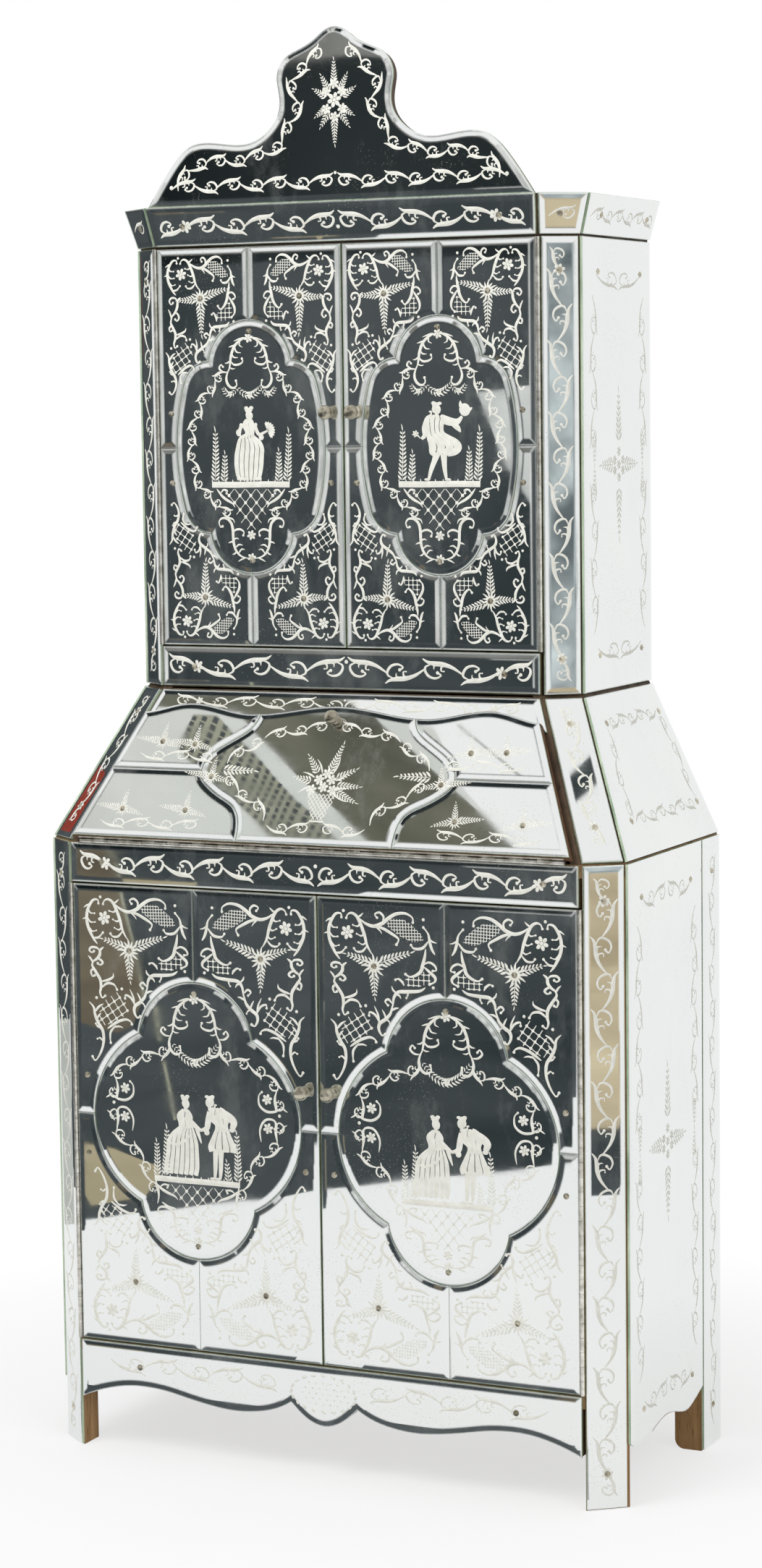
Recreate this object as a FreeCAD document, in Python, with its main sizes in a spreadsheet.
import FreeCAD, Part
import math
import os

# Bureau cabinet faced with bevelled mirror: lower cupboard, sloped desk, upper cupboard, cornice and crest.
# Millimetres, +Z up, front towards -Y, origin under the middle of the object on the floor.

V = FreeCAD.Vector
doc = FreeCAD.newDocument("bureau_cabinet")

# Driving dimensions
DRIVING = (
    ("lower_half_front", 389.0),
    ("lower_half_width", 443.0),
    ("corner_slant", 0.7963),
    ("lower_depth", 395.0),
    ("front_y", -185.5),
    ("upper_half_front", 292.0),
    ("upper_half_width", 342.0),
    ("upper_setback", 105.0),
    ("cornice_half_front", 298.0),
    ("cornice_half_width", 358.0),
    ("cornice_overhang", 17.0),
    ("apron_top", 159.0),
    ("frieze_bottom", 821.0),
    ("desk_level", 879.0),
    ("upper_bottom", 1093.0),
    ("rail_top", 1151.0),
    ("upper_door_top", 1710.0),
    ("cornice_top", 1765.0),
    ("crest_top", 2000.0),
    ("crest_setback", 4.0),
    ("crest_board_thickness", 12.0),
    ("glass_thickness", 5.0),
    ("bevel_width", 8.0),
    ("bevel_depth", 1.3),
    ("board_thickness", 18.0),
    ("rail_thickness", 21.0),
    ("back_thickness", 10.0),
    ("shelf_thickness", 16.0),
    ("divider_thickness", 10.0),
    ("post_depth", 48.0),
    ("post_return", 14.0),
    ("rear_leg_width", 40.0),
    ("rear_leg_depth", 71.0),
    ("rear_leg_round", 14.0),
    ("lower_shelf_level", 480.0),
    ("first_upper_shelf", 1330.0),
    ("second_upper_shelf", 1515.0),
    ("pigeonhole_level", 985.0),
    ("pigeonhole_depth", 110.0),
    ("door_clearance", 1.5),
    ("meeting_gap", 1.0),
    ("sheet_margin", 1.0),
    ("sheet_gap", 0.3),
    ("corner_inset", 6.5),
    ("knuckle_radius", 3.0),
    ("bore_radius", 1.25),
    ("pin_radius", 1.2),
    ("leaf_thickness", 1.2),
    ("leaf_width", 18.0),
    ("leaf_spacing", 0.3),
    ("knuckle_play", 0.2),
    ("fall_foot", 5.0),
    ("fall_lift", 1.0),
    ("fall_board_thickness", 8.5),
    ("fall_side_gap", 6.5),
    ("fall_joint", 109.0),
    ("knob_radius", 10.0),
    ("knob_length", 24.0),
    ("rosette_radius", 4.2),
    ("rosette_height", 2.4),
)
sheet = doc.addObject("Spreadsheet::Sheet", "Dims")
for row, (alias, size) in enumerate(DRIVING, 1):
    sheet.set("A%d" % row, alias.replace("_", " "))
    sheet.set("B%d" % row, str(size))
    sheet.setAlias("B%d" % row, alias)
doc.recompute()
dim = {alias: float(sheet.get(alias)) for alias, size in DRIVING}

# Levels and planes that several pieces share
FRONT = "Dims.front_y"
BACK = "(Dims.front_y + Dims.lower_depth)"
UPPER_FRONT = "(Dims.front_y + Dims.upper_setback)"
LOWER_OUTER = "(Dims.lower_half_width - Dims.glass_thickness)"
LOWER_INNER = "(Dims.lower_half_width - Dims.glass_thickness - Dims.board_thickness)"
UPPER_OUTER = "(Dims.upper_half_width - Dims.glass_thickness)"
UPPER_INNER = "(Dims.upper_half_width - Dims.glass_thickness - Dims.board_thickness)"
front_y = dim["front_y"]
back_y = front_y + dim["lower_depth"]
upper_front_y = front_y + dim["upper_setback"]
glass = dim["glass_thickness"]
margin = dim["sheet_margin"]
slant = dim["corner_slant"]
rise = dim["upper_bottom"] - dim["desk_level"]
slope_length = math.hypot(dim["upper_setback"], rise)
SLOPE_UP = V(0, dim["upper_setback"] / slope_length, rise / slope_length)
SLOPE_OUT = V(1, 0, 0).cross(SLOPE_UP)
SLOPE_FOOT = V(0, front_y, dim["desk_level"])
RIGHT, REAR, UP = V(1, 0, 0), V(0, 1, 0), V(0, 0, 1)

nodes = []


# Small drawing helpers
def line(start, end):
    return Part.LineSegment(V(start[0], start[1], 0), V(end[0], end[1], 0))


def bow(start, middle, end):
    return Part.Arc(V(start[0], start[1], 0), V(middle[0], middle[1], 0), V(end[0], end[1], 0))


def curve(points):
    spline = Part.BSplineCurve()
    spline.interpolate([V(x, y, 0) for x, y in points])
    return spline


def closed(points):
    return [line(points[i], points[(i + 1) % len(points)]) for i in range(len(points))]


def crossing(point_a, way_a, point_b, way_b):
    """Where two straight lines of the plane meet."""
    det = way_a[0] * way_b[1] - way_a[1] * way_b[0]
    step = ((point_b[0] - point_a[0]) * way_b[1] - (point_b[1] - point_a[1]) * way_b[0]) / det
    return point_a[0] + step * way_a[0], point_a[1] + step * way_a[1]


def drawn_in(points, insets):
    """A counter-clockwise outline with each side moved inwards by its own inset."""
    sides = []
    for i, start in enumerate(points):
        end = points[(i + 1) % len(points)]
        length = math.hypot(end[0] - start[0], end[1] - start[1])
        way = ((end[0] - start[0]) / length, (end[1] - start[1]) / length)
        sides.append(((start[0] - way[1] * insets[i], start[1] + way[0] * insets[i]), way))
    return [crossing(*sides[i - 1], *sides[i]) for i in range(len(points))]


def swing(nodes_at, place):
    """A height that swings smoothly from one given point to the next."""
    for (x0, y0), (x1, y1) in zip(nodes_at, nodes_at[1:]):
        if x0 <= place <= x1:
            share = 0.5 - 0.5 * math.cos(math.pi * (place - x0) / (x1 - x0))
            return y0 + (y1 - y0) * share
    return nodes_at[-1][1] if place > nodes_at[-1][0] else nodes_at[0][1]


def spread(start, end, count):
    return [start + (end - start) * i / (count - 1) for i in range(count)]


def spot(origin, along, up, lift=0.0):
    """The place of a flat piece: its plane, and how far its back lies off that plane."""
    out = along.cross(up)
    base = origin + out * lift
    turn = FreeCAD.Matrix(along.x, up.x, out.x, base.x, along.y, up.y, out.y, base.y,
                          along.z, up.z, out.z, base.z, 0, 0, 0, 1)
    return FreeCAD.Placement(turn)


def origin_part(body, role):
    return [item for item in body.Origin.OriginFeatures if item.Role == role][0]


# Makers of pieces
def board(label, x_range, y_range, z_range):
    """A square-edged board between pairs of expressions."""
    item = doc.addObject("Part::Box", label)
    for size, axis, (start, end) in (("Length", "x", x_range), ("Width", "y", y_range), ("Height", "z", z_range)):
        item.setExpression(size, "(%s) - (%s)" % (end, start))
        item.setExpression("Placement.Base." + axis, start)
    return item


def slab(label, outline, place, thickness):
    """A flat piece of any outline: sketch and pad."""
    body = doc.addObject("PartDesign::Body", label)
    sketch = body.newObject("Sketcher::SketchObject", label + "_outline")
    sketch.AttachmentSupport = [(origin_part(body, "XY_Plane"), "")]
    sketch.MapMode = "FlatFace"
    sketch.addGeometry(outline, False)
    pad = body.newObject("PartDesign::Pad", label + "_pad")
    pad.Profile = sketch
    pad.setExpression("Length", thickness)
    body.Placement = place
    doc.recompute()
    return body, pad


def mirror_sheet(label, outline, origin, along, up, lift=None):
    """A sheet of mirror with its front edges bevelled all round."""
    lift = -glass if lift is None else lift
    body, pad = slab(label, outline, spot(origin, along, up, lift), "Dims.glass_thickness")
    faces = [face for face in pad.Shape.Faces if abs(face.CenterOfMass.z - glass) < 1e-4]
    names = []
    for edge in faces[0].Edges:
        names += ["Edge%d" % i for i, other in enumerate(pad.Shape.Edges, 1) if other.isSame(edge)]
    bevel = body.newObject("PartDesign::Chamfer", label + "_bevel")
    bevel.Base = (pad, names)
    bevel.ChamferType = "Two distances"
    bevel.setExpression("Size", "Dims.bevel_depth")
    bevel.setExpression("Size2", "Dims.bevel_width")
    body.Tip = bevel
    return body


def panel(label, corners, insets):
    """A straight-sided mirror sheet on the plane of four corners, counter-clockwise from the lower left."""
    first, second, third, fourth = corners
    along = (second - first).normalize()
    out = along.cross(fourth - first).normalize()
    up = out.cross(along)
    flat = [((point - first).dot(along), (point - first).dot(up)) for point in corners]
    return mirror_sheet(label, closed(drawn_in(flat, insets)), first, along, up)


def taper(label, lower_points, lower_level, upper_points, upper_level):
    """A straight-sided piece between two level outlines."""
    rings = []
    for end, points, level in (("foot", lower_points, lower_level), ("head", upper_points, upper_level)):
        ring = doc.addObject("Part::Polygon", "%s_%s" % (label, end))
        ring.Nodes = [V(x, y, level) for x, y in points]
        ring.Close = True
        rings.append(ring)
    item = doc.addObject("Part::Loft", label)
    item.Sections = rings
    item.Solid = True
    item.Ruled = True
    return item


def twin(source):
    """The left-hand piece that answers a right-hand one."""
    item = doc.addObject("Part::Mirroring", source.Label + "_left")
    item.Source = source
    item.Normal = RIGHT
    return item


def pair(source):
    return [source, twin(source)]


def node(label, members):
    """A named sub-part: one piece, or a set of separate pieces."""
    if len(members) == 1:
        item = members[0]
        item.Label = label
    else:
        item = doc.addObject("Part::Compound", label)
        item.Links = members
    nodes.append((label, item))
    return item


def plan(half_front, half_width, front, insets=(0.0, 0.0, 0.0)):
    """The plan of a case: front, slanted corners and sides, drawn in; right half from the centre line."""
    step = half_width - half_front
    length = math.hypot(1.0, slant)
    way = (1.0 / length, slant / length)
    corner = (half_front - insets[1] * way[1], front + insets[1] * way[0])
    front_corner = crossing(corner, way, (0, front + insets[0]), (1, 0))
    side_corner = crossing(corner, way, (half_width - insets[2], 0), (0, 1))
    return front_corner, side_corner


def case_plan(half_front, half_width, front, insets):
    front_corner, side_corner = plan(half_front, half_width, front, insets)
    right = [front_corner, side_corner, (side_corner[0], back_y)]
    return right + [(-x, y) for x, y in reversed(right)]


def post_plan(half_front, half_width, front, insets, inner):
    """The plan of a right-hand corner post behind the slanted sheet."""
    front_corner, side_corner = plan(half_front, half_width, front, insets)
    way = (1.0, slant)
    nose = crossing(front_corner, way, (inner, 0), (0, 1)) if inner > front_corner[0] else None
    start = [nose] if nose else [(inner, front_corner[1]), front_corner]
    rear = front + dim["post_depth"]
    return start + [side_corner, (side_corner[0], rear), (inner, rear)]


# Lower case
lower_plan = (dim["lower_half_front"], dim["lower_half_width"], front_y)
upper_plan = (dim["upper_half_front"], dim["upper_half_width"], upper_front_y)
leaf_seat = dim["leaf_spacing"] + dim["leaf_thickness"]
CASE_TOP = "(Dims.desk_level - Dims.board_thickness)"
FLOOR_UNDER = "(Dims.apron_top - Dims.board_thickness)"

flush = (glass, glass, glass)
leg_outline = closed(post_plan(*lower_plan, flush, dim["lower_half_front"] + leaf_seat))
front_leg, leg_pad = slab("front_leg", leg_outline, FreeCAD.Placement(), CASE_TOP)
node("front_legs", pair(front_leg))

rear_leg_block = board("rear_leg_block", (LOWER_OUTER + " - Dims.rear_leg_width", LOWER_OUTER),
                       (BACK + " - Dims.rear_leg_depth", BACK), ("0", CASE_TOP))
doc.recompute()
rear_leg = doc.addObject("Part::Fillet", "rear_leg")
rear_leg.Base = rear_leg_block
inner_x = dim["lower_half_width"] - glass - dim["rear_leg_width"]
rear_leg.Edges = [(i, dim["rear_leg_round"], dim["rear_leg_round"])
                  for i, edge in enumerate(rear_leg_block.Shape.Edges, 1)
                  if abs(edge.CenterOfMass.x - inner_x) < 1e-6 and abs(edge.CenterOfMass.z) < 1e-6]
node("rear_legs", pair(rear_leg))

# The wave along the foot of each side, from front to back
SIDE_WAVE = ((-141.2, 87.9), (-116.6, 78.2), (-100.5, 77.1), (-52.3, 86.8), (-9.4, 93.2), (22.7, 88.9),
             (54.9, 80.4), (76.3, 78.2), (103.0, 84.6), (127.7, 93.2), (135.5, 96.5))


def side_outline(start, end, top, lift):
    wave = [(y, z + lift) for y, z in SIDE_WAVE]
    wave = [(start, wave[0][1])] + wave[1:-1] + [(end, wave[-1][1])]
    return [curve(wave), line(wave[-1], (end, top)), line((end, top), (start, top)), line((start, top), wave[0])]


leg_front = back_y - dim["rear_leg_depth"]
case_top = dim["desk_level"] - dim["board_thickness"]
side_board, side_pad = slab("lower_side", side_outline(front_y + dim["post_depth"], leg_front, case_top, 1.5),
                            spot(V(dim["lower_half_width"] - glass - dim["board_thickness"], 0, 0), REAR, UP),
                            "Dims.board_thickness")
node("lower_sides", pair(side_board))


def notched(label, blank, blocks):
    """A board cut round the posts that pass it."""
    tools = doc.addObject("Part::Compound", label + "_notches")
    tools.Links = blocks
    item = doc.addObject("Part::Cut", label)
    item.Base = blank
    item.Tool = tools
    return item


POST_REAR = "(%s + Dims.post_depth)"
RIGHT_POST = "(Dims.lower_half_front + Dims.leaf_spacing + Dims.leaf_thickness)"
RIGHT_LEG = "(%s - Dims.rear_leg_width)" % LOWER_OUTER


def lower_notches(label, levels):
    front_cut = board(label + "_front_notch", (RIGHT_POST, LOWER_OUTER), (FRONT, POST_REAR % FRONT), levels)
    rear_cut = board(label + "_rear_notch", (RIGHT_LEG, LOWER_OUTER), (BACK + " - Dims.rear_leg_depth", BACK), levels)
    return pair(front_cut) + pair(rear_cut)


def mirrored_range(expression):
    return ("-(%s)" % expression, expression)


lower_floor_blank = board("lower_floor_blank", mirrored_range(LOWER_INNER),
                          (FRONT + " + Dims.glass_thickness", BACK + " - Dims.back_thickness"),
                          (FLOOR_UNDER, "Dims.apron_top"))
floor_notches = lower_notches("lower_floor", (FLOOR_UNDER, "Dims.apron_top"))
node("lower_floor", [notched("lower_floor_board", lower_floor_blank, floor_notches)])

shelf_levels = ("Dims.lower_shelf_level", "Dims.lower_shelf_level + Dims.shelf_thickness")
lower_shelf_blank = board("lower_shelf_blank", mirrored_range(LOWER_INNER),
                          (FRONT + " + 1.25 * Dims.post_depth", BACK + " - Dims.back_thickness"), shelf_levels)
shelves = [notched("lower_shelf", lower_shelf_blank, lower_notches("lower_shelf", shelf_levels)[2:])]
for name in ("first_upper_shelf", "second_upper_shelf"):
    shelves.append(board(name + "_board", mirrored_range(UPPER_INNER),
                         (POST_REAR % UPPER_FRONT, BACK + " - Dims.back_thickness"),
                         ("Dims." + name, "Dims.%s + Dims.shelf_thickness" % name)))
node("shelves", shelves)

# Apron under the lower doors: two scallops to each side of a hanging lobe
APRON_SIDE = ((51.4, 102.0), (64.0, 94.5), (86.0, 86.0), (107.0, 81.5), (145.0, 78.8), (182.0, 82.5), (214.0, 88.0),
              (246.0, 94.3), (279.0, 97.5), (311.0, 96.4), (343.0, 90.0), (375.0, 79.3), (387.0, 74.0))
APRON_LOBE = ((37.5, 89.0), (26.0, 80.5), (13.0, 74.5), (0.0, 72.3))


def apron_outline(top, lift):
    right = [(x, z + lift) for x, z in APRON_SIDE]
    left = [(-x, z) for x, z in reversed(right)]
    lobe = [(x, z + lift) for x, z in APRON_LOBE]
    middle = [left[-1]] + [(-x, z) for x, z in lobe] + [(x, z) for x, z in reversed(lobe[:-1])] + [right[0]]
    end = right[-1][0]
    return [curve(left), curve(middle), curve(right), line(right[-1], (end, top)), line((end, top), (-end, top)),
            line((-end, top), left[0])]


apron_board, apron_pad = slab("apron_board", apron_outline(dim["apron_top"] - dim["board_thickness"], 1.5),
                              spot(V(0, front_y + glass, 0), RIGHT, UP, -dim["board_thickness"]),
                              "Dims.board_thickness")
node("apron_board", [apron_board])

frieze_rail = board("frieze_rail", mirrored_range("Dims.lower_half_front - Dims.meeting_gap"),
                    (FRONT + " + Dims.glass_thickness", FRONT + " + Dims.glass_thickness + Dims.board_thickness"),
                    ("Dims.frieze_bottom", CASE_TOP))
desk_floor, desk_pad = slab("desk_floor", closed(case_plan(*lower_plan, flush)),
                            FreeCAD.Placement(V(0, 0, case_top), FreeCAD.Rotation()), "Dims.board_thickness")
node("desk_floor", [desk_floor])

# Desk section: every face leans in towards the upper case
lean = (glass * slope_length / rise, glass * 1.22, glass * 1.12)
desk_post = taper("desk_post", post_plan(*lower_plan, lean, dim["lower_half_front"] - dim["post_return"]),
                  dim["desk_level"],
                  post_plan(*upper_plan, lean, dim["upper_half_front"] - dim["post_return"]), dim["upper_bottom"])


def side_plan(half_width, front):
    outer = half_width - lean[2]
    inner = outer - dim["board_thickness"]
    start = front + dim["post_depth"]
    return [(inner, start), (outer, start), (outer, back_y), (inner, back_y)]


desk_side = taper("desk_side", side_plan(dim["lower_half_width"], front_y), dim["desk_level"],
                  side_plan(dim["upper_half_width"], upper_front_y), dim["upper_bottom"])
node("desk_sides", pair(desk_side))


def front_half(along):
    """Half width of the sloped front at a distance up the slope."""
    share = along / slope_length
    return dim["lower_half_front"] + (dim["upper_half_front"] - dim["lower_half_front"]) * share


head_low = 183.0
head_ends = [(front_half(s) - dim["post_return"] - 0.4, s) for s in (head_low, slope_length - 0.4)]
head_outline = closed([(-head_ends[0][0], head_low), head_ends[0], head_ends[1], (-head_ends[1][0], head_ends[1][1])])
head_rail, head_pad = slab("desk_head_rail", head_outline,
                           spot(SLOPE_FOOT, RIGHT, SLOPE_UP, -glass - dim["board_thickness"]), "Dims.board_thickness")

# Upper case
post_outline = closed(post_plan(*upper_plan, flush, dim["upper_half_front"] + leaf_seat))
upper_post, upper_post_pad = slab("upper_post", post_outline,
                                  FreeCAD.Placement(V(0, 0, dim["upper_bottom"]), FreeCAD.Rotation()),
                                  "Dims.upper_door_top - Dims.upper_bottom")
node("corner_posts", pair(desk_post) + pair(upper_post))
upper_side = board("upper_side", (UPPER_INNER, UPPER_OUTER), (POST_REAR % UPPER_FRONT, BACK),
                   ("Dims.upper_bottom", "Dims.upper_door_top"))
node("upper_sides", pair(upper_side))
RAIL_REAR = "(%s + Dims.glass_thickness + Dims.rail_thickness)" % UPPER_FRONT
upper_rail = board("upper_rail", mirrored_range("Dims.upper_half_front - Dims.meeting_gap"),
                   (UPPER_FRONT + " + Dims.glass_thickness", RAIL_REAR), ("Dims.upper_bottom", "Dims.rail_top"))
node("front_rails", [frieze_rail, head_rail, upper_rail])

UPPER_POST = "(Dims.upper_half_front + Dims.leaf_spacing + Dims.leaf_thickness)"
cross_boards = []
for name, top in (("upper_floor", "Dims.rail_top"), ("upper_ceiling", "Dims.upper_door_top")):
    levels = (top + " - Dims.board_thickness", top)
    blank = board(name + "_blank", mirrored_range(UPPER_INNER), (RAIL_REAR, BACK + " - Dims.back_thickness"), levels)
    cut = board(name + "_notch", (UPPER_POST, UPPER_OUTER), (UPPER_FRONT, POST_REAR % UPPER_FRONT), levels)
    cross_boards.append(notched(name, blank, pair(cut)))
node("upper_boards", cross_boards)

lower_back = board("lower_back", mirrored_range(RIGHT_LEG), (BACK + " - Dims.back_thickness", BACK),
                   (FLOOR_UNDER, CASE_TOP))
upper_back = board("upper_back", mirrored_range(UPPER_INNER), (BACK + " - Dims.back_thickness", BACK),
                   ("Dims.upper_bottom", "Dims.upper_door_top"))


def back_plan(half_width):
    edge = half_width - lean[2] - dim["board_thickness"] - 0.2
    inner = back_y - dim["back_thickness"]
    return [(-edge, inner), (edge, inner), (edge, back_y), (-edge, back_y)]


desk_back = taper("desk_back", back_plan(dim["lower_half_width"]), dim["desk_level"],
                  back_plan(dim["upper_half_width"]), dim["upper_bottom"])
node("case_backs", [lower_back, desk_back, upper_back])

# Pigeonholes at the back of the desk
RACK = (BACK + " - Dims.back_thickness - Dims.pigeonhole_depth", BACK + " - Dims.back_thickness")
rack = [board("pigeonhole_shelf", ("-362", "362"), RACK,
              ("Dims.pigeonhole_level", "Dims.pigeonhole_level + Dims.divider_thickness"))]
for place in (-210, -70, 70, 210):
    rack.append(board("pigeonhole_divider", ("%d - Dims.divider_thickness / 2" % place,
                                             "%d + Dims.divider_thickness / 2" % place), RACK,
                      ("Dims.pigeonhole_level + Dims.divider_thickness", "Dims.rail_top - Dims.board_thickness")))
node("pigeonholes", rack)

# Cornice: five mitred blocks that flare outwards
cornice_plan = (dim["cornice_half_front"], dim["cornice_half_width"], upper_front_y - dim["cornice_overhang"])
flare = (glass * 1.08, glass * 1.12, glass * 1.08)
hollow = 25.0
outer_foot = case_plan(*upper_plan, flare)
outer_head = case_plan(*cornice_plan, flare)
inner_ring = case_plan(*upper_plan, (hollow, hollow, hollow))
cornice_blocks = []
for i, name in enumerate(("corner", "side")):
    foot = [outer_foot[i], outer_foot[i + 1], inner_ring[i + 1], inner_ring[i]]
    head = [outer_head[i], outer_head[i + 1], inner_ring[i + 1], inner_ring[i]]
    cornice_blocks += pair(taper("cornice_block_" + name, foot, dim["upper_door_top"], head, dim["cornice_top"]))
cornice_blocks.append(taper("cornice_block_front",
                            [outer_foot[5], outer_foot[0], inner_ring[0], inner_ring[5]], dim["upper_door_top"],
                            [outer_head[5], outer_head[0], inner_ring[0], inner_ring[5]], dim["cornice_top"]))
node("cornice_frame", cornice_blocks)

# Crest outline: half width and height above the cornice
CREST = ((293.6, 0.0), (274.3, 28.9), (257.2, 52.5), (237.9, 73.9), (227.2, 81.4), (214.3, 85.7), (198.2, 86.8),
         (160.7, 82.5), (130.7, 83.6), (111.4, 92.1), (98.6, 102.9), (87.9, 117.9), (84.1, 132.9), (85.7, 152.2),
         (87.9, 168.2), (84.6, 183.2), (75.0, 196.1), (53.6, 206.8), (30.0, 219.1), (12.9, 231.4), (0.0, 234.7))


def crest_outline(shrink):
    scale = (dim["crest_top"] - dim["cornice_top"]) / CREST[-1][1]
    right = [(x * shrink, z * scale * shrink) for x, z in CREST]
    points = right + [(-x, z) for x, z in reversed(right[:-1])]
    return [curve(points), line(points[-1], points[0])]


crest_front = upper_front_y - dim["cornice_overhang"] + dim["crest_setback"]
crest_foot = V(0, crest_front, dim["cornice_top"])
crest_board, crest_pad = slab("crest_board", crest_outline(0.988),
                              spot(crest_foot, RIGHT, UP, -glass - dim["crest_board_thickness"]),
                              "Dims.crest_board_thickness")
node("crest_board", [crest_board])

# Mirror sheets of the fixed faces
node("crest_mirror", [mirror_sheet("crest_sheet", crest_outline(1.0), crest_foot, RIGHT, UP)])


def ring_corners(half_front, half_width, front, level):
    step = (half_width - half_front) * slant
    return [V(-half_front, front, level), V(half_front, front, level), V(half_width, front + step, level),
            V(half_width, back_y, level)]


def wall(foot, head, index):
    return [foot[index], foot[index + 1], head[index + 1], head[index]]


edge = dim["corner_inset"]
floor_ring = ring_corners(*lower_plan, 0.0)
desk_ring = ring_corners(*lower_plan, dim["desk_level"])
upper_ring = ring_corners(*upper_plan, dim["upper_bottom"])
door_top_ring = ring_corners(*upper_plan, dim["upper_door_top"])
cornice_ring = ring_corners(*cornice_plan, dim["cornice_top"])
cornice_sheets = [panel("cornice_front_sheet", wall(door_top_ring, cornice_ring, 0), (1.5, 2.5, 0.5, 2.5))]
cornice_sheets += pair(panel("cornice_corner_sheet", wall(door_top_ring, cornice_ring, 1), (1.5, 4, 0.5, 4)))
cornice_sheets += pair(panel("cornice_side_sheet", wall(door_top_ring, cornice_ring, 2), (1.5, 0.5, 0.5, 2)))
node("cornice_mirrors", cornice_sheets)
upper_corner = panel("upper_corner_sheet", wall(upper_ring, door_top_ring, 1), (1, edge, 1, edge))
node("upper_corner_mirrors", pair(upper_corner))
node("upper_side_mirrors", pair(panel("upper_side_sheet", wall(upper_ring, door_top_ring, 2), (1, 0.5, 1, 0.5))))
rail_corners = [V(-dim["upper_half_front"], upper_front_y, dim["upper_bottom"]),
                V(dim["upper_half_front"], upper_front_y, dim["upper_bottom"]),
                V(dim["upper_half_front"], upper_front_y, dim["rail_top"]),
                V(-dim["upper_half_front"], upper_front_y, dim["rail_top"])]
node("upper_rail_mirror", [panel("upper_rail_sheet", rail_corners, (2, 2, 1, 2))])
head_foot = 187.0
head_corners = [SLOPE_FOOT + RIGHT * (side * front_half(s)) + SLOPE_UP * s
                for side, s in ((-1, head_foot), (1, head_foot), (1, slope_length), (-1, slope_length))]
node("desk_head_mirror", [panel("desk_head_sheet", head_corners, (0, 3, 3.5, 3))])
node("desk_corner_mirrors", pair(panel("desk_corner_sheet", wall(desk_ring, upper_ring, 1), (4.5, edge, 4, edge))))
node("desk_side_mirrors", pair(panel("desk_side_sheet", wall(desk_ring, upper_ring, 2), (3, 0.5, 3.5, 0.5))))
frieze_corners = [V(-dim["lower_half_front"], front_y, dim["frieze_bottom"]),
                  V(dim["lower_half_front"], front_y, dim["frieze_bottom"]),
                  V(dim["lower_half_front"], front_y, dim["desk_level"]),
                  V(-dim["lower_half_front"], front_y, dim["desk_level"])]
node("frieze_mirror", [panel("frieze_sheet", frieze_corners, (1, 2, 1.5, 2))])
node("lower_corner_mirrors", pair(panel("lower_corner_sheet", wall(floor_ring, desk_ring, 1), (2, edge, 2, edge))))
side_front = floor_ring[2].y + 0.4
side_sheet = mirror_sheet("lower_side_sheet", side_outline(side_front, leg_front - 1.5, dim["desk_level"] - 2, 0.0),
                          V(dim["lower_half_width"], 0, 0), REAR, UP)
stile_corners = [V(dim["lower_half_width"], y, z) for y, z in
                 ((leg_front, 0), (back_y, 0), (back_y, dim["desk_level"]), (leg_front, dim["desk_level"]))]
stile_sheet = panel("rear_stile_sheet", stile_corners, (2, 0.5, 2, 1.5))
node("lower_side_mirrors", pair(side_sheet) + pair(stile_sheet))
node("apron_mirror", [mirror_sheet("apron_sheet", apron_outline(dim["apron_top"] - 1.5, 0.0),
                                   V(0, front_y, 0), RIGHT, UP)])


# Brass fittings
def hinge_leaf(label, length, place, offset, width, knuckles, first):
    """A strip hinge leaf: barrel and leaf in one profile, with every other knuckle cut away."""
    radius = dim["knuckle_radius"]
    far = offset + dim["leaf_thickness"]
    near_y = math.sqrt(radius ** 2 - offset ** 2)
    far_y = math.sqrt(max(radius ** 2 - far ** 2, 0.0))
    barrel_end = (min(far, radius), far_y)
    outline = [bow((offset, near_y), (-radius, 0), barrel_end)]
    corners = [barrel_end] + ([(far, far_y)] if far > radius else []) + [(far, width), (offset, width), (offset, near_y)]
    outline += [line(start, end) for start, end in zip(corners, corners[1:])]
    outline.append(Part.Circle(V(0, 0, 0), UP, dim["bore_radius"]))
    body, pad = slab(label, outline, FreeCAD.Placement(), "%s" % length)
    pitch = length / knuckles
    play = dim["knuckle_play"]
    cut = body.newObject("Sketcher::SketchObject", label + "_gap")
    cut.AttachmentSupport = [(origin_part(body, "YZ_Plane"), "")]
    cut.MapMode = "FlatFace"
    reach = radius + 0.6
    low, high = first * pitch - play, (first + 1) * pitch + play
    cut.addGeometry(closed([(-reach, low), (reach, low), (reach, high), (-reach, high)]), False)
    gap = body.newObject("PartDesign::Pocket", label + "_knuckle_gap")
    gap.Profile = cut
    gap.Midplane = True
    gap.Length = 8 * radius
    body.Tip = gap
    doc.recompute()
    repeat = body.newObject("PartDesign::LinearPattern", label + "_knuckles")
    repeat.Originals = [gap]
    repeat.Direction = (origin_part(body, "Z_Axis"), [""])
    count = (knuckles - first + 1) // 2
    repeat.Length = 2 * pitch * (count - 1)
    repeat.Occurrences = count
    body.Tip = repeat
    body.Placement = place
    return body


def hinge_pin(label, length, place):
    pin = doc.addObject("Part::Cylinder", label)
    pin.setExpression("Radius", "Dims.pin_radius")
    pin.Height = length
    pin.Placement = place
    return pin


def turned(label, profile, origin, along, up):
    """A turned piece that stands on the plane of the two directions."""
    body = doc.addObject("PartDesign::Body", label)
    sketch = body.newObject("Sketcher::SketchObject", label + "_profile")
    sketch.AttachmentSupport = [(origin_part(body, "XZ_Plane"), "")]
    sketch.MapMode = "FlatFace"
    sketch.addGeometry(profile, False)
    turn = body.newObject("PartDesign::Revolution", label + "_turning")
    turn.Profile = sketch
    turn.ReferenceAxis = (sketch, ["V_Axis"])
    turn.Angle = 360
    body.Tip = turn
    body.Placement = spot(origin, along, up)
    return body


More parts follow.
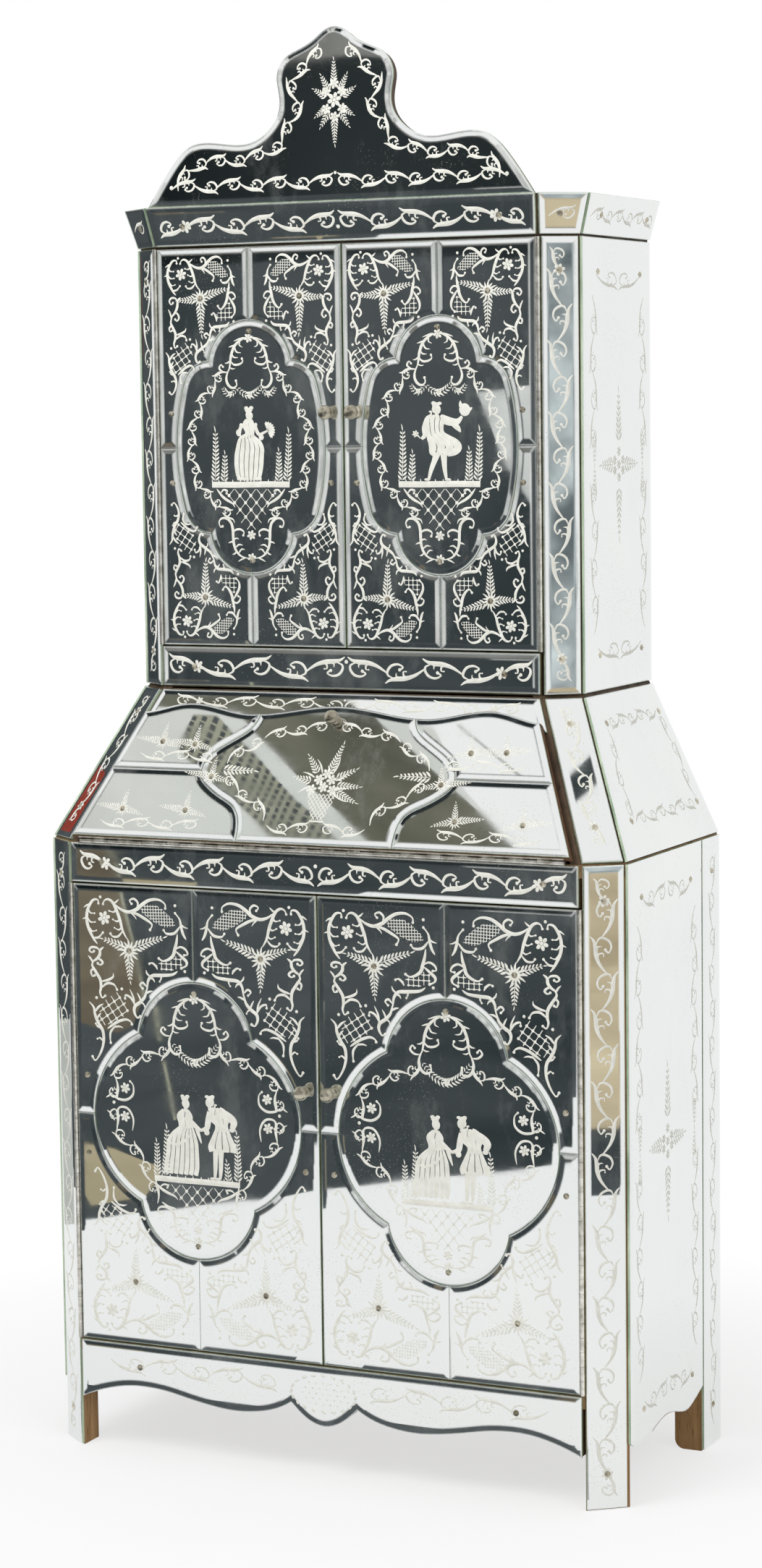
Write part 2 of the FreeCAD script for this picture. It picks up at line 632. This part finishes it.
def knob(label, origin, along, up):
    wide, tall = dim["knob_radius"], dim["knob_length"]
    foot, neck, shoulder = 0.8 * wide, 0.38 * wide, 0.55 * wide
    crown = 0.5 * wide
    profile = [line((0, 0), (foot, 0)), line((foot, 0), (foot, 0.07 * tall)),
               bow((foot, 0.07 * tall), (0.5 * wide, 0.15 * tall), (neck, 0.3 * tall)),
               line((neck, 0.3 * tall), (shoulder, 0.4 * tall)),
               bow((shoulder, 0.4 * tall), (wide, 0.66 * tall), (crown, 0.93 * tall)),
               line((crown, 0.93 * tall), (0, tall)), line((0, tall), (0, 0))]
    return turned(label, profile, origin, along, up)


rim, dome = dim["rosette_radius"], dim["rosette_height"]
boss, boss_rise = 0.5 * rim, 0.5 * dome
ball = (boss ** 2 + boss_rise ** 2) / (2 * boss_rise)
half_turn = math.asin(boss / ball) / 2
boss_middle = V(ball * math.sin(half_turn), 0, dome - ball + ball * math.cos(half_turn))
rosette_profile = Part.Wire([shape.toShape() for shape in (
    Part.LineSegment(V(0, 0, 0), V(rim, 0, 0)), Part.LineSegment(V(rim, 0, 0), V(rim, 0, 0.2 * dome)),
    Part.LineSegment(V(rim, 0, 0.2 * dome), V(boss, 0, dome - boss_rise)),
    Part.Arc(V(boss, 0, dome - boss_rise), boss_middle, V(0, 0, dome)),
    Part.LineSegment(V(0, 0, dome), V(0, 0, 0)))])
rosette_shape = Part.Face(rosette_profile).revolve(V(0, 0, 0), UP, 360)


def rosettes(label, places):
    """Small caps over the pins that hold the sheets."""
    item = doc.addObject("Part::Feature", label)
    solids = []
    for origin, along, up in places:
        copy = rosette_shape.copy()
        copy.Placement = spot(origin, along, up)
        solids.append(copy)
    item.Shape = Part.makeCompound(solids)
    nodes.append((label, item))
    return item


# Doors: board, lobed centre sheet, four corner sheets, hinge leaf, knob and rosettes
def joint_of(first, second):
    """Where two rounds of a quarter outline meet: the crossing furthest out, or the point where they touch."""
    (ax, ay), ar = first
    (bx, by), br = second
    gap = math.hypot(bx - ax, by - ay)
    if gap < abs(ar - br) + 1e-3:
        big, small = (first, second) if ar > br else (second, first)
        reach = big[1] / gap
        return (big[0][0] + (small[0][0] - big[0][0]) * reach, big[0][1] + (small[0][1] - big[0][1]) * reach)
    along = (ar ** 2 - br ** 2 + gap ** 2) / (2 * gap)
    aside = math.sqrt(ar ** 2 - along ** 2)
    ux, uy = (bx - ax) / gap, (by - ay) / gap
    options = [(ax + along * ux - side * aside * uy, ay + along * uy + side * aside * ux) for side in (-1, 1)]
    return max(options)


def middle_of(rounding, start, end):
    (cx, cy), radius = rounding
    mx, my = (start[0] + end[0]) / 2 - cx, (start[1] + end[1]) / 2 - cy
    length = math.hypot(mx, my)
    return (cx + mx / length * radius, cy + my / length * radius)


def quarter(rounds, grow, start_x, end_y):
    """Rounds from the top lobe to the side of a centre sheet, as start, middle and end points."""
    grown = [(centre, radius + grow) for centre, radius in rounds]
    (cx, cy), radius = grown[0]
    points = [(start_x, cy + math.sqrt(radius ** 2 - start_x ** 2))]
    points += [joint_of(first, second) for first, second in zip(grown, grown[1:])]
    (cx, cy), radius = grown[-1]
    points.append((cx + math.sqrt(radius ** 2 - end_y ** 2), end_y))
    return [(start, middle_of(rounding, start, end), end)
            for rounding, start, end in zip(grown, points, points[1:])]


def centre_outline(rounds):
    """The whole outline in order: each half runs from a lobe down one side, and the other half answers it."""
    steps = quarter(rounds, -dim["sheet_gap"], 0.0, 0.0)
    apex, notch = steps[0][0], steps[0][2]
    last, far = steps[-1][0], steps[-1][2]
    shoulders = steps[1:-1]
    run = [((-notch[0], notch[1]), apex, notch)] + shoulders + [(last, far, (last[0], -last[1]))]
    run += [[(x, -y) for x, y in reversed(step)] for step in reversed(shoulders)]
    return [bow(*[(sign * x, sign * y) for x, y in step]) for sign in (1, -1) for step in run]


def corner_outline(rounds, half_x, half_y, fx, fy):
    gap = dim["sheet_gap"]
    steps = [[(fx * x, fy * y) for x, y in step] for step in quarter(rounds, gap, gap, gap)]
    start, end = steps[0][0], steps[-1][2]
    corners = [end, (fx * half_x, fy * gap), (fx * half_x, fy * half_y), (fx * gap, fy * half_y), start]
    return [bow(*step) for step in steps] + [line(a, b) for a, b in zip(corners, corners[1:])]


# Rounds of a centre sheet's upper right quarter: centre and radius
LOWER_ROUNDS = (((0.0, 106.7), 91.1), ((30.1, 0.0), 134.2))
UPPER_SIDE = ((-210.0, 0.0), 326.5)
UPPER_SHOULDER_RADIUS = 42.9
shoulder_lean = math.radians(15.8)
shoulder_reach = UPPER_SIDE[1] - UPPER_SHOULDER_RADIUS
UPPER_SHOULDER = ((UPPER_SIDE[0][0] + shoulder_reach * math.cos(shoulder_lean),
                   shoulder_reach * math.sin(shoulder_lean)), UPPER_SHOULDER_RADIUS)
UPPER_ROUNDS = (((0.0, 111.0), 65.3), UPPER_SHOULDER, UPPER_SIDE)

carcass_hinges = []


def door(name, half_front, front, foot, head, rounds, knuckles, knob_height, spots):
    """A pair of doors; the right one is drawn and the left one answers it."""
    inner = dim["meeting_gap"]
    axis_x = half_front
    outer = axis_x - leaf_seat
    board_front = front + glass
    clear = dim["door_clearance"]
    low, high = foot + clear, head - clear
    half_front_name = "Dims.%s_half_front" % name
    front_name = FRONT if name == "lower" else UPPER_FRONT
    door_board = board("%s_right_door_blank" % name,
                       ("Dims.meeting_gap", "%s - Dims.leaf_spacing - Dims.leaf_thickness" % half_front_name),
                       ("%s + Dims.glass_thickness" % front_name,
                        "%s + Dims.glass_thickness + Dims.board_thickness" % front_name),
                       ("%g + Dims.door_clearance" % foot, "%g - Dims.door_clearance" % head))
    glass_in, glass_out = inner + 0.5 * margin, axis_x - dim["knuckle_radius"] - 0.6
    middle = V((glass_in + glass_out) / 2, front, (low + high) / 2)
    half_x, half_y = (glass_out - glass_in) / 2, (high - low) / 2 - 0.5 * margin
    centre = mirror_sheet("%s_right_centre_sheet" % name, centre_outline(rounds), middle, RIGHT, UP)
    corners = [mirror_sheet("%s_right_corner_sheet" % name, corner_outline(rounds, half_x, half_y, fx, fy),
                            middle, RIGHT, UP) for fx, fy in ((1, 1), (-1, 1), (-1, -1), (1, -1))]
    length = high - low
    axis_y = front + 1.0
    up_right = spot(V(axis_x, axis_y, low), RIGHT, REAR)
    fixed = hinge_leaf("%s_post_leaf" % name, length, up_right, dim["leaf_spacing"], dim["leaf_width"], knuckles, 1)
    moving = hinge_leaf("%s_right_leaf" % name, length, spot(V(axis_x, axis_y, high), RIGHT * -1, REAR),
                        dim["leaf_spacing"], dim["leaf_width"], knuckles, 0)
    pin = hinge_pin("%s_hinge_pin" % name, length, up_right)
    carcass_hinges.extend(pair(fixed) + pair(pin))
    pull = knob("%s_right_knob" % name, V(20, front, knob_height), RIGHT, UP)
    sets = {"board": [door_board], "centre_mirror": [centre], "corner_mirrors": corners, "hinge_leaf": [moving],
            "knob": [pull]}
    for part_name, members in sets.items():
        node("%s_left_door_%s" % (name, part_name), [twin(item) for item in members])
        node("%s_right_door_%s" % (name, part_name), members)
    for side, sign in (("left", -1), ("right", 1)):
        rosettes("%s_%s_door_rosettes" % (name, side),
                 [(V(sign * x, front, z), RIGHT, UP) for x, z in spots])


upper_spots = ((64.5, 1638.5), (219.5, 1638.5), (64.5, 1220.5), (219.5, 1220.5), (20.0, 1381.0), (269.0, 1381.0),
               (269.0, 1478.5), (144.0, 1591.5), (144.0, 1273.5))
lower_spots = ((87.0, 727.0), (295.5, 727.0), (87.0, 250.5), (295.5, 250.5), (368.0, 545.0), (368.0, 432.0),
               (22.0, 432.0), (193.5, 671.0), (193.5, 311.0))
door("upper", dim["upper_half_front"], upper_front_y, dim["rail_top"], dim["upper_door_top"], UPPER_ROUNDS, 27, 1478.0,
     upper_spots)
door("lower", dim["lower_half_front"], front_y, dim["apron_top"], dim["frieze_bottom"], LOWER_ROUNDS, 33, 546.0,
     lower_spots)

# Fall of the desk: swings down about a strip hinge along its foot
FALL_TOP = ((0.0, 211.0), (133.0, 196.0), (229.0, 210.0), (312.0, 194.5))
FALL_CENTRE = ((5.0, 119.0), (35.0, 121.0), (51.0, 127.5), (61.8, 139.3), (71.5, 157.5), (85.4, 179.0), (96.0, 189.7),
               (109.0, 194.0), (120.8, 191.8), (133.6, 183.0), (146.5, 167.0), (162.5, 142.5), (174.0, 128.6),
               (189.0, 120.5), (215.0, 116.0))


def fall_half(along):
    return front_half(along) - dim["fall_side_gap"]


def fall_top(place):
    return swing(FALL_TOP, abs(place))


def fall_corner(inset):
    """The upper right corner of the fall, drawn in."""
    along = 195.0
    for turn in range(20):
        along = fall_top(fall_half(along)) - inset
    return (fall_half(along) - inset, along)


fall_foot = dim["fall_foot"]
corner = fall_corner(0.0)
top_edge = [(x, fall_top(x)) for x in spread(corner[0], -corner[0], 41)]
fall_outline = [line((-fall_half(fall_foot), fall_foot), (fall_half(fall_foot), fall_foot)),
                line((fall_half(fall_foot), fall_foot), top_edge[0]), curve(top_edge),
                line(top_edge[-1], (-fall_half(fall_foot), fall_foot))]
fall_board, fall_pad = slab("fall_board", fall_outline, spot(SLOPE_FOOT, RIGHT, SLOPE_UP, dim["fall_lift"]),
                            "Dims.fall_board_thickness")
node("fall_board", [fall_board])

fall_face = dim["fall_lift"] + dim["fall_board_thickness"]
foot_line = fall_foot + 2.0
joint_gap = dim["sheet_gap"]


def boundary(along, gap):
    for (s0, x0), (s1, x1) in zip(FALL_CENTRE, FALL_CENTRE[1:]):
        if s0 <= along <= s1:
            return x0 + (x1 - x0) * (along - s0) / (s1 - s0) + gap
    return FALL_CENTRE[-1][1] + gap


def boundary_points(start, end, gap):
    inner = [s for s, x in FALL_CENTRE if start + 3 < s < end - 3]
    return [(boundary(s, gap), s) for s in [start] + inner + [end]]


def boundary_head(gap):
    along = 195.0
    for turn in range(20):
        along = fall_top(boundary(along, gap)) - margin
    return along


centre_head = boundary_head(-joint_gap)
right_side = boundary_points(foot_line, centre_head, -joint_gap)
left_side = [(-x, s) for x, s in reversed(right_side)]
centre_top = [(x, fall_top(x) - margin) for x in spread(right_side[-1][0], left_side[0][0], 21)]
fall_centre_outline = [curve(right_side), curve(centre_top), curve(left_side), line(left_side[-1], right_side[0])]
node("fall_centre_mirror", [mirror_sheet("fall_centre_sheet", fall_centre_outline, SLOPE_FOOT, RIGHT, SLOPE_UP,
                                         fall_face)])
side_low = boundary_points(foot_line, dim["fall_joint"] - joint_gap, joint_gap)
low_top = dim["fall_joint"] - joint_gap
low_outline = [curve(side_low), line(side_low[-1], (fall_half(low_top) - margin, low_top)),
               line((fall_half(low_top) - margin, low_top), (fall_half(foot_line) - margin, foot_line)),
               line((fall_half(foot_line) - margin, foot_line), side_low[0])]
high_foot = dim["fall_joint"] + joint_gap
side_high = boundary_points(high_foot, boundary_head(joint_gap), joint_gap)
high_corner = fall_corner(margin)
high_top = [(x, fall_top(x) - margin) for x in spread(side_high[-1][0], high_corner[0], 21)]
high_outline = [curve(side_high), curve(high_top), line(high_top[-1], (fall_half(high_foot) - margin, high_foot)),
                line((fall_half(high_foot) - margin, high_foot), side_high[0])]
fall_sides = pair(mirror_sheet("fall_low_sheet", low_outline, SLOPE_FOOT, RIGHT, SLOPE_UP, fall_face))
fall_sides += pair(mirror_sheet("fall_high_sheet", high_outline, SLOPE_FOOT, RIGHT, SLOPE_UP, fall_face))
node("fall_side_mirrors", fall_sides)

hinge_half = 370.0
moving_offset = dim["knuckle_radius"] - dim["leaf_thickness"] + 0.4
axis_s = fall_foot - moving_offset - dim["leaf_thickness"]
axis_m = 2.0
fall_axis = SLOPE_FOOT + SLOPE_UP * axis_s + SLOPE_OUT * axis_m - RIGHT * hinge_half
fixed_offset = fall_axis.z - dim["desk_level"] - dim["leaf_thickness"]
fixed_fall_leaf = hinge_leaf("desk_leaf", 2 * hinge_half, spot(fall_axis, UP * -1, REAR), fixed_offset,
                             dim["leaf_width"], 37, 1)
moving_fall_leaf = hinge_leaf("fall_leaf", 2 * hinge_half, spot(fall_axis, SLOPE_UP, SLOPE_OUT), moving_offset,
                              fall_face - axis_m, 37, 0)
fall_pin = hinge_pin("fall_hinge_pin", 2 * hinge_half, spot(fall_axis, UP * -1, REAR))
node("fall_hinge_leaf", [moving_fall_leaf])
carcass_hinges.extend([fixed_fall_leaf, fall_pin])
node("carcass_hinges", carcass_hinges)
face = fall_face + glass
node("fall_knob", [knob("fall_pull", SLOPE_FOOT + SLOPE_UP * 188.0 + SLOPE_OUT * face, RIGHT, SLOPE_UP)])
fall_spots = ((264.0, 149.5), (212.0, 147.0), (306.0, 47.5), (206.0, 48.5), (176.0, 100.0))
rosettes("fall_rosettes", [(SLOPE_FOOT + RIGHT * (sign * x) + SLOPE_UP * s + SLOPE_OUT * face, RIGHT, SLOPE_UP)
                           for sign in (-1, 1) for x, s in fall_spots])


# Rosettes of the fixed sheets
def on_wall(foot, head, index, share, height):
    """A place on a wall: share of its width, and height above the floor."""
    a, b, c, d = wall(foot, head, index)
    rise_share = (height - a.z) / (d.z - a.z)
    low, high = a + (b - a) * share, d + (c - d) * share
    along = (b - a).normalize()
    out = along.cross(d - a).normalize()
    return (low + (high - low) * rise_share, along, out.cross(along))


def both(places):
    """Right-hand places and the left-hand ones that answer them."""
    answers = [(V(-o.x, o.y, o.z), V(a.x, -a.y, a.z), V(-u.x, u.y, u.z)) for o, a, u in places]
    return places + answers


fixed_places = [on_wall(door_top_ring, cornice_ring, 1, 0.46, 1738), on_wall(upper_ring, door_top_ring, 1, 0.48, 1664),
                on_wall(upper_ring, door_top_ring, 1, 0.48, 1142), on_wall(desk_ring, upper_ring, 1, 0.5, 1056),
                on_wall(desk_ring, upper_ring, 1, 0.5, 925), on_wall(floor_ring, desk_ring, 1, 0.5, 830),
                on_wall(floor_ring, desk_ring, 1, 0.5, 50)]
fixed_places += [on_wall(upper_ring, door_top_ring, 2, share, z) for share in (0.21, 0.83) for z in (1663, 1143)]
fixed_places += [on_wall(desk_ring, upper_ring, 2, share, 1052) for share in (0.17, 0.9)]
fixed_places += [on_wall(desk_ring, upper_ring, 2, share, 927) for share in (0.14, 0.9)]
fixed_places += [(V(dim["lower_half_width"], y, z), REAR, UP) for y in (-96, 90) for z in (828, 125)]
fixed_places += [(V(dim["lower_half_width"], 174, z), REAR, UP) for z in (830, 60)]
fixed_places += [on_wall(door_top_ring, cornice_ring, 2, share, 1738) for share in (0.2, 0.86)]
fixed_places += [on_wall(door_top_ring, cornice_ring, 0, 0.908, 1738)]
fixed_places += [(V(239, upper_front_y, 1121.5), RIGHT, UP), (V(338, front_y, 851.5), RIGHT, UP),
                 (V(292, front_y, 126), RIGHT, UP)]
rosettes("carcass_rosettes", both(fixed_places))

# Checks and export
doc.recompute()
for item in doc.Objects:
    faults = [state for state in item.State if state in ("Invalid", "Error")]
    if faults:
        raise RuntimeError("%s is %s" % (item.Label, faults))
os.makedirs("parts", exist_ok=True)
for label, item in nodes:
    shape = item.Shape
    if shape.isNull() or not shape.isValid() or not shape.Solids:
        raise RuntimeError("%s has no sound solid" % label)
    shape.exportStep("parts/%s.step" % label)
print(len(nodes), "sub-parts,", sum(len(item.Shape.Solids) for label, item in nodes), "solids")
